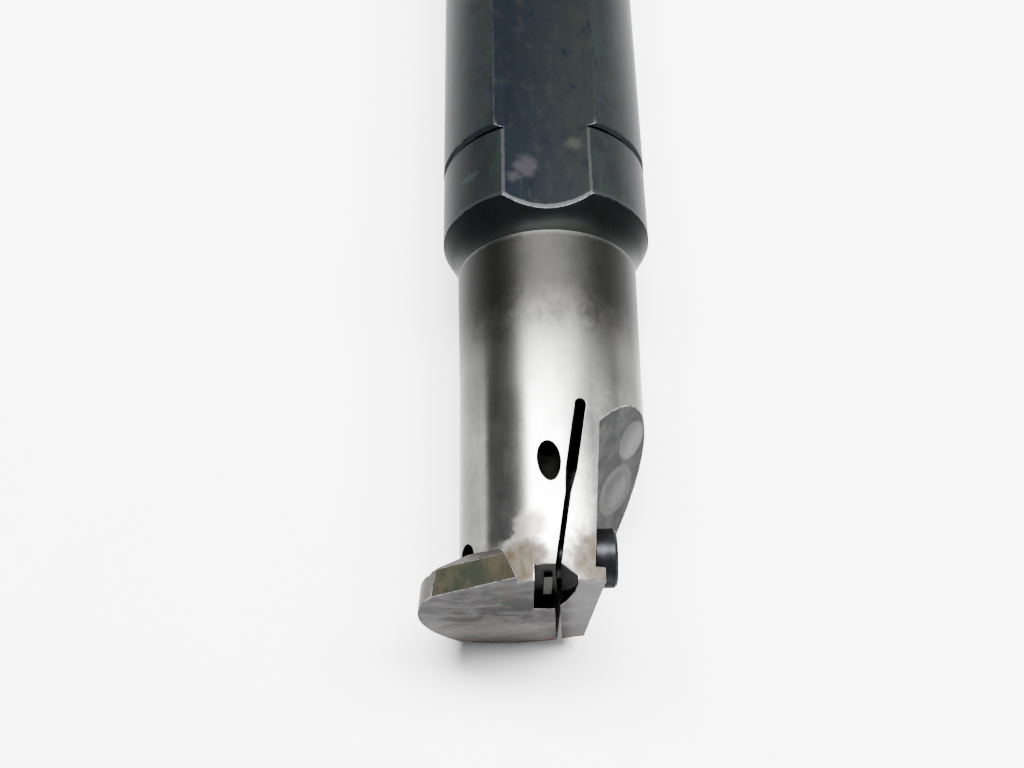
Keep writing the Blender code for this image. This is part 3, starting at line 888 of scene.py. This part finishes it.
def black_surface(settings):
    """Blackened shank, collar and flats, with green and violet patches and light scuffs."""
    material, tree, shader, place = new_material("blackened_bar", 0.35, 0.02, 0.02)
    position, x, y, _, radius = place[:5]
    marks, cloud, grain = scuffs(tree, place, 1.0, 0.8)
    ragged = tree.minus(tree.noise(position, 1.6, 5, 0.65), 0.5)
    black = Vector(settings.blackened)
    tint = tree.blend(tree.between(cloud, 0.38, 0.62), black * 0.86, black * 1.12)
    patches = tree.noise(position, (0.5, 0.3, 0.5), 4, move=(4, 9, 2))
    tint = tree.lay(tint, tree.between(patches, 0.48, 0.70), 0.7, (0.0066, 0.0112, 0.0090))
    patches = tree.noise(position, (0.5, 0.35, 0.5), 4, move=(11, 2, 5))
    tint = tree.lay(tint, tree.between(patches, 0.50, 0.72), 0.6, (0.0088, 0.0092, 0.0150))
    tint = tree.lay(tint, marks, 0.35, (0.05, 0.053, 0.053))
    drawn_out = tree.stretch(position, (0.6, 1.6, 0.6), (0, -29.5, 0))
    streak = stain(tree, drawn_out, (-5.2, 50.0, 5.1), 1.2, 1.0)
    tint = tree.lay(tint, streak, 0.5, (0.020, 0.034, 0.028))
    # Painted shade: a darker cone, a darker left side of the collar and a near-black groove; and a rubbed
    # ridge between cone and collar
    collar_start = NECK_LENGTH * MM
    # Painted shade: the cone is darkened, as it faces away from the light
    cone = tree.between(y, collar_start + 0.02, collar_start - 0.02)
    tint = tree.lay(tint, cone, 0.82, (0.0013, 0.0014, 0.0014))
    haze = tree.between(tree.plus(y, ragged), 42.6, 41.2)
    tint = tree.lay(tint, haze, 0.45, (0.006, 0.0068, 0.006))
    # Painted shade on the left side of the collar
    left = tree.times(tree.between(x, -4, -9, 0, 0.45), tree.between(y, 56, 54))
    tint = tree.blend(left, tint, (0.0030, 0.0036, 0.0040))
    ridge = tree.between(tree.math("ABSOLUTE", tree.minus(y, collar_start + 0.1)), 0.55, 0.15)
    ridge = tree.times(ridge, tree.between(y, collar_start - 0.05, collar_start + 0.05, 0, 0.75))
    tint = tree.blend(ridge, tint, (0.0125, 0.0135, 0.0140))
    shank_radius = SHANK_RADIUS * MM
    # Painted shade: near black below the groove's rim, in the groove behind the collar and at the rear end
    groove_shade = tree.between(radius, shank_radius - 0.43, shank_radius - 0.47)
    groove_shade = tree.times(groove_shade, tree.between(y, collar_start + 1, collar_start + 2))
    tint = tree.blend(groove_shade, tint, (0.0005, 0.0005, 0.0005))
    # Flats, bluer on the left and greyer on the right, smeared with brown and green
    on_flat, sides, tip = flat_masks(tree, place, ragged)
    flat_tint = tree.blend(tree.between(x, -5, 6), (0.0032, 0.0042, 0.0056), (0.0058, 0.0066, 0.0066))
    smear = tree.noise(position, (0.55, 0.35, 0.55), 5, 0.6, move=(1, 6, 3))
    flat_tint = tree.blend(tree.between(smear, 0.44, 0.30), flat_tint, (0.0028, 0.0038, 0.0058))
    flat_tint = tree.lay(flat_tint, tree.between(smear, 0.48, 0.74), 0.6, (0.0085, 0.0085, 0.0076))
    for centre, size, share, colour in FLAT_PATCHES:
        patch = stain(tree, position, centre, size, 1.1)
        flat_tint = tree.lay(flat_tint, patch, share, colour)
    flat_tint = tree.lay(flat_tint, marks, 0.25, (0.028, 0.028, 0.030))
    tint = tree.blend(on_flat, tint, flat_tint)
    worn = Vector(settings.worn)
    for rubbed, share, level in ((sides, 0.8, 0.035), (tip, 0.9, 0.07)):
        tint = tree.lay(tint, tree.times(rubbed, on_flat), share, worn * level)
    tree.put(shader.inputs["Base Color"], tint)
    tree.put(shader.inputs["Roughness"], tree.plus(0.32, tree.times(grain, 0.1)))
    rings = tree.noise(position, (0.05, 12, 0.05), 4, 0.7)
    bump(tree, shader, rings, 0.25, 0.00003)
    return material


def neck_surface(settings):
    """Bare satin neck, darkened towards the collar and along its outline as painted shade, a little
    mottled, and stained near the slit.
    """
    material, tree, shader, place = new_material("bare_neck", 1.0, 0.08, 0.6)
    position, y = place["Place"], place["Y"]
    _, cloud, grain = scuffs(tree, place, 1.0, 0.8)
    ragged = tree.minus(tree.noise(position, 1.6, 5, 0.65), 0.5)
    bare = Vector(settings.bare)
    steel = tree.blend(tree.between(cloud, 0.35, 0.65), bare * 0.75, bare)
    # Painted shade: darker towards the collar where the light's reflection ends, with a little mottling
    upper = tree.between(y, 17, 31)
    shade_and_mottle = tree.times(upper, tree.between(cloud, 0.36, 0.60, 0.86, 1.0))
    steel = tree.blend(shade_and_mottle, steel, bare * 0.10)
    fine = tree.noise(position, (1.5, 1.1, 1.5), 4, 0.65)
    fine = tree.between(fine, 0.38, 0.62, 0.0, 0.22)
    steel = tree.blend(fine, steel, bare * 0.35)
    # Painted shade: darker still at the upper end
    upper_end = tree.between(y, 25.5, 35, 0, 0.92)
    steel = tree.blend(upper_end, steel, bare * 0.036)
    # Film of coolant and rust along the front edge, higher beside the slit, with one spot that is partly
    # painted shade
    fringe = tree.between(tree.plus(y, tree.times(ragged, 2)), 5.0, 0.0)
    stained = tree.times(fringe, 0.6)
    for centre, size, share in NECK_STAINS:
        spot = stain(tree, position, centre, size, 0.5)
        stained = tree.math("MAXIMUM", stained, tree.times(spot, share))
    left_clean = tree.math("POWER", tree.minus(1, stained), 2)
    stained = tree.minus(1, left_clean)
    browner = tree.noise(position, (1.3, 0.8, 1.3), 4, 0.6)
    browner = tree.between(browner, 0.42, 0.62)
    film = tree.blend(browner, (0.044, 0.039, 0.031), (0.032, 0.024, 0.014))
    steel = tree.blend(stained, steel, film)
    tree.put(shader.inputs["Metallic"], tree.minus(1, stained))
    # Painted shade: darker towards the neck's outline, less so towards the collar
    facing = tree.node("ShaderNodeLayerWeight", Blend=0.5).outputs["Facing"]
    shade = tree.between(y, 23, 29, 0.74, 0.45)
    steel = tree.blend(tree.between(facing, 0.16, 0.46), steel, tree.blend(shade, steel, (0, 0, 0)))
    rim = tree.between(tree.plus(y, tree.times(ragged, 0.8)), 40.2, 40.9)
    tree.put(shader.inputs["Base Color"], tree.blend(rim, steel, (0.03, 0.031, 0.03)))
    satin = tree.plus(0.17, tree.times(grain, 0.05))
    satin = tree.plus(satin, tree.times(upper, 0.12))
    satin = tree.plus(satin, tree.times(upper_end, 0.12))
    tree.put(shader.inputs["Roughness"], tree.plus(satin, tree.times(stained, 0.15)))
    rings = tree.noise(position, (0.05, 12, 0.05), 4, 0.7)
    bump(tree, shader, rings, 0.08, 0.00003)
    return material


def worn_edge(settings):
    """Edges where the finish is rubbed down to steel, in patches."""
    material, tree, shader, place = new_material("worn_edge", 0.95)
    patch = tree.between(tree.noise(place["Place"], 1.1, 5, 0.65), 0.38, 0.58)
    worn = Vector(settings.worn)
    colour = tree.blend(patch, worn * 0.12, worn * 0.4)
    on_black = tree.between(place["Y"], 38, 42)
    colour = tree.blend(on_black, colour, tree.blend(patch, (0.004, 0.005, 0.006), (0.022, 0.024, 0.026)))
    tree.put(shader.inputs["Base Color"], colour)
    tree.put(shader.inputs["Roughness"], tree.between(patch, 0, 1, 0.45, 0.3))
    bump(tree, shader, tree.noise(place["Place"], 9, 3), 0.2, 0.00002)
    return material


def facet_surface(settings):
    """Olive brown film on the lobe's facet, greener and darker at the left."""
    material, tree, shader, place = new_material("lobe_facet", 0.85)
    marks, cloud, grain = scuffs(tree, place, 1.3)
    olive = Vector(settings.facet)
    colour = tree.blend(tree.between(place["X"], -10, -3), (0.028, 0.033, 0.024), olive)
    colour = tree.blend(tree.between(cloud, 0.4, 0.65), colour, olive * 1.2)
    colour = tree.lay(colour, marks, 0.3, (0.30, 0.27, 0.22))
    coat(tree, shader, colour, grain, 0.34, 0.48)
    bump(tree, shader, grain, 0.25, 0.00002)
    return material


def face_surface():
    """Front face of the head: grey smears with brown between them and a thin rusty fringe low down."""
    material, tree, shader, place = new_material("front_face", 0.6)
    position, x, z = place["Place"], place["X"], place["Z"]
    marks, _, grain = scuffs(tree, place, 1.5)
    smear = tree.noise(position, (0.26, 1.0, 0.42), 4, 0.55, 1.2, move=(2, 0, 5))
    steel = tree.blend(tree.between(smear, 0.36, 0.64), (0.020, 0.020, 0.021), (0.075, 0.075, 0.077))
    brown = tree.noise(position, (0.5, 0.5, 0.9), 4, 0.6, move=(3, 1, 8))
    brown = tree.between(brown, 0.46, 0.64)
    steel = tree.lay(steel, brown, 0.55, (0.052, 0.035, 0.028))
    speck = tree.noise(position, (2.6, 2.6, 2.6), 4, 0.6)
    speck = tree.between(speck, 0.52, 0.68)
    steel = tree.lay(steel, speck, 0.6, (0.016, 0.016, 0.017))
    # Band under the facet, a darker patch, rust along the lower rim, and painted light on the lower left
    top = tree.minus(tree.times(z, math.cos(FACET_TURN)), tree.times(x, math.sin(FACET_TURN)))
    facet = FACET_DISTANCE * MM
    steel = tree.lay(steel, tree.between(top, facet - 1.0, facet - 0.5), 0.3, (0.085, 0.085, 0.086))
    # A darker patch left of the seat
    dark_patch = stain(tree, position, (-3.2, 0, 2.2), 3.2, 1.0)
    steel = tree.lay(steel, dark_patch, 0.85, (0.006, 0.006, 0.006))
    low = tree.distance(position, LOWER_CENTRE * MM)
    low = tree.plus(low, tree.times(tree.noise(position, 0.9, 5, 0.7), 2.0))
    rim = LOWER_RADIUS * MM
    rust = tree.times(tree.between(low, rim - 0.8, rim + 0.9), tree.between(z, 2.0, -3.0))
    steel = tree.lay(steel, rust, 0.8, (0.085, 0.034, 0.012))
    steel = tree.lay(steel, marks, 0.4, (0.11, 0.11, 0.113))
    upper_left = tree.times(tree.between(x, -1, -5), tree.between(z, 0, 4, 0.15, 0.32))
    steel = tree.blend(upper_left, steel, (0.008, 0.008, 0.008))
    steel = tree.blend(tree.between(x, 0.5, 2.0, 0, 0.45), steel, (0.13, 0.13, 0.13))
    # Painted light: the face is lightened low down on the left
    painted_light_low_left = tree.times(tree.between(z, -2, -8, 0, 0.42), tree.between(x, 1.5, -2))
    steel = tree.blend(painted_light_low_left, steel, (0.19, 0.178, 0.172))
    coat(tree, shader, steel, grain, 0.38, 0.55)
    bump(tree, shader, tree.noise(position, 5, 4, 0.6), 0.3, 0.00004)
    return material


def milled_surface():
    """Side flat of the jaw and the dished run-out, milled, with painted reflections lighter on the two
    dishes than round them.
    """
    material, tree, shader, place = new_material("milled_side", 0.75)
    position = place["Place"]
    marks, cloud, grain = scuffs(tree, place, 1.2)
    cloud = tree.between(cloud, 0.35, 0.65)
    steel = tree.blend(cloud, (0.024, 0.024, 0.025), (0.040, 0.040, 0.040))
    # Painted reflections: each dish lightened to its tone
    for mark, size, tone in DISH_REFLECTIONS:
        away = tree.distance(position, mark * MM)
        steel = tree.blend(tree.between(away, size, size - 0.5), steel, (tone, tone, tone))
    steel = tree.lay(steel, marks, 0.35, (0.05, 0.05, 0.05))
    coat(tree, shader, steel, grain, 0.30, 0.42)
    lines = tree.noise(position, (0.8, 5.0, 9.0), 4, 0.65)
    bump(tree, shader, lines, 0.3, 0.00003)
    return material


def flank_surface():
    """Ground flank and chamfers of the lobe, light with a pinkish tinge."""
    material, tree, shader, place = new_material("lobe_flank", 0.7)
    marks, cloud, grain = scuffs(tree, place, 1.4)
    cloud = tree.between(cloud, 0.35, 0.65)
    steel = tree.blend(cloud, (0.030, 0.026, 0.023), (0.054, 0.050, 0.046))
    steel = tree.lay(steel, marks, 0.4, (0.022, 0.020, 0.018))
    coat(tree, shader, steel, grain, 0.30, 0.42)
    bump(tree, shader, grain, 0.3, 0.00003)
    return material


def recess_surface():
    """Insides of the seat, the slit and the holes, painted near black as shade."""
    material, tree, shader, place = new_material("recess", 0.7)
    marks, cloud, grain = scuffs(tree, place, 1.6, 0.6)
    cloud = tree.between(cloud, 0.35, 0.65)
    # Painted shade: near black, a little clouded
    recess_shade = tree.blend(cloud, (0.002, 0.002, 0.002), (0.005, 0.0048, 0.0046))
    # Front of the seat's rib, kept at plain steel outside the painted shade
    on_rib = tree.times(tree.between(place["Y"], 1.30, 1.22), tree.between(place["Z"], 1.85, 1.95))
    off_rib = tree.math("ABSOLUTE", tree.plus(place["X"], 1.1))
    on_rib = tree.times(on_rib, tree.between(off_rib, 0.46, 0.43))
    recess_shade = tree.blend(on_rib, recess_shade, (0.040, 0.039, 0.038))
    recess_shade = tree.lay(recess_shade, marks, 0.2, (0.05, 0.048, 0.045))
    coat(tree, shader, recess_shade, grain, 0.4, 0.55)
    bump(tree, shader, grain, 0.25, 0.00003)
    return material


def screw_surface(settings):
    """Black oxide on the clamp screw, a little rubbed."""
    material, tree, shader, place = new_material("screw_black", 0.8)
    marks, cloud, grain = scuffs(tree, place, 2.0, 0.8)
    black = Vector(settings.black_oxide)
    cloud = tree.between(cloud, 0.35, 0.65)
    colour = tree.blend(cloud, black * 0.8, black * 1.3)
    colour = tree.lay(colour, marks, 0.4, (0.16, 0.16, 0.165))
    coat(tree, shader, colour, grain, 0.30, 0.42)
    bump(tree, shader, grain, 0.3, 0.00002)
    return material


def floor_surface(settings):
    """Plain pale floor with a very faint tooth."""
    material = bpy.data.materials.new("pale_floor")
    material.use_nodes = True
    tree = Tree(material.node_tree)
    shader = material.node_tree.nodes["Principled BSDF"]
    shader.inputs["Roughness"].default_value = 0.8
    pale = Vector(settings.floor_colour)
    coordinates = tree.node("ShaderNodeTexCoord").outputs["Object"]
    tone = tree.between(tree.noise(coordinates, 60, 3), 0.3, 0.7)
    tree.put(shader.inputs["Base Color"], tree.blend(tone, pale * 0.985, pale))
    return material


# Operators


class BORINGBAR_OT_bar(Operator):
    """Models the machined bar and gives each of its surfaces its finish"""

    bl_idname = "boringbar.bar"
    bl_label = "Bar"
    bl_options = {"REGISTER", "UNDO"}

    def execute(self, context):
        settings = context.scene.boring_bar
        body = machined_body(settings.round_steps)
        lay_in(body, [
            black_surface(settings),
            neck_surface(settings),
            worn_edge(settings),
            facet_surface(settings),
            face_surface(),
            milled_surface(),
            recess_surface(),
            flank_surface(),
        ])
        part_finishes(body)
        break_edges(body, settings.edge_break)
        smooth(body)
        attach(body, "bar")
        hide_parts("bar_body")
        return {"FINISHED"}


class BORINGBAR_OT_screw(Operator):
    """Models the cap screw that pinches the jaws"""

    bl_idname = "boringbar.screw"
    bl_label = "Clamp screw"
    bl_options = {"REGISTER", "UNDO"}

    def execute(self, context):
        settings = context.scene.boring_bar_screw
        top = SCREW_CLEARANCE + SCREW_HEAD_HEIGHT
        end = SCREW_CLEARANCE - SCREW_LENGTH
        rings = [
            (SCREW_RADIUS - SCREW_EDGE, end),
            (SCREW_RADIUS, end + SCREW_EDGE),
            (SCREW_RADIUS, SCREW_CLEARANCE),
            (SCREW_HEAD_RADIUS, SCREW_CLEARANCE),
            (SCREW_HEAD_RADIUS, top - SCREW_EDGE),
            (SCREW_HEAD_RADIUS - SCREW_EDGE, top),
        ]
        screw = turned("screw_machined", rings, settings.round_steps, SCREW_SEAT, SCREW_WAY)
        low, high = along_screw(top - SOCKET_DEPTH), along_screw(top + SPARE)
        cut(screw, drill("socket", SOCKET_ACROSS_FLATS / math.sqrt(3), low, high, HEXAGON))
        tidy(screw)
        lay_in(screw, [screw_surface(settings)])
        smooth(screw)
        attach(screw, "screw")
        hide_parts("clamp_screw")
        return {"FINISHED"}


class BORINGBAR_OT_studio(Operator):
    """Lays the floor, hangs the lights and sets up the camera"""

    bl_idname = "boringbar.studio"
    bl_label = "Studio"
    bl_options = {"REGISTER", "UNDO"}

    def execute(self, context):
        settings = context.scene.boring_bar_studio
        size, place = settings.floor_size, (0, 0, TABLE_Z)
        floor = new_object("studio_floor", bpy.ops.mesh.primitive_plane_add, size=size, location=place)
        place_in_mesh(floor)
        lay_in(floor, [floor_surface(settings)])
        world = bpy.data.worlds.new("studio_room")
        world.use_nodes = True
        background = world.node_tree.nodes["Background"]
        background.inputs["Color"].default_value = ROOM_COLOUR
        background.inputs["Strength"].default_value = settings.room_level
        context.scene.world = world
        self.hang("key_light", KEY_PLACE, KEY_AIM, KEY_SIZE, KEY_TURN, settings.key_power)
        self.hang("side_light", SIDE_PLACE, SIDE_AIM, SIDE_SIZE, 0, settings.side_power)
        data = bpy.data.cameras.new("photo_camera")
        data.lens = CAMERA_LENS
        data.sensor_width = CAMERA_SENSOR
        data.clip_start = CAMERA_NEAR
        camera = bpy.data.objects.new("photo_camera", data)
        context.scene.collection.objects.link(camera)
        turn = Matrix((CAMERA_RIGHT, CAMERA_UP, CAMERA_BACK)).transposed().to_4x4()
        camera.matrix_world = Matrix.Translation(CAMERA_PLACE) @ turn
        context.scene.camera = camera
        return {"FINISHED"}

    def hang(self, name, place, target, size, turn, power):
        """Adds a rectangular light that faces the target, with its second side level."""
        data = bpy.data.lights.new(name, "AREA")
        data.shape = "RECTANGLE"
        data.size, data.size_y = size
        data.energy = power
        light = bpy.data.objects.new(name, data)
        bpy.context.scene.collection.objects.link(light)
        light.location = place
        back = (Vector(place) - Vector(target)).normalized()
        level = Vector((math.sin(turn), math.cos(turn), 0))
        level = (level - back * level.dot(back)).normalized()
        light.rotation_euler = Matrix((level.cross(back), level, back)).transposed().to_euler()


class BORINGBAR_PT_sidebar(Panel):
    bl_label = "Boring bar"
    bl_space_type = "VIEW_3D"
    bl_region_type = "UI"
    bl_category = "Boring bar"

    def draw(self, context):
        scene = context.scene
        for title, settings, operator in (
            ("Bar", scene.boring_bar, BORINGBAR_OT_bar),
            ("Clamp screw", scene.boring_bar_screw, BORINGBAR_OT_screw),
            ("Studio", scene.boring_bar_studio, BORINGBAR_OT_studio),
        ):
            box = self.layout.box()
            box.label(text=title)
            for name in settings.bl_rna.properties.keys():
                if name not in {"rna_type", "name"}:
                    box.prop(settings, name)
            box.operator(operator.bl_idname)


CLASSES = (
    BarSettings,
    ScrewSettings,
    StudioSettings,
    BORINGBAR_OT_bar,
    BORINGBAR_OT_screw,
    BORINGBAR_OT_studio,
    BORINGBAR_PT_sidebar,
)


def register():
    for kind in CLASSES:
        bpy.utils.register_class(kind)
    bpy.types.Scene.boring_bar = PointerProperty(type=BarSettings)
    bpy.types.Scene.boring_bar_screw = PointerProperty(type=ScrewSettings)
    bpy.types.Scene.boring_bar_studio = PointerProperty(type=StudioSettings)


def unregister():
    del bpy.types.Scene.boring_bar_studio
    del bpy.types.Scene.boring_bar_screw
    del bpy.types.Scene.boring_bar
    for kind in reversed(CLASSES):
        bpy.utils.unregister_class(kind)


def main():
    register()
    bpy.ops.boringbar.bar()
    bpy.ops.boringbar.screw()
    bpy.ops.boringbar.studio()


if __name__ == "__main__":
    main()
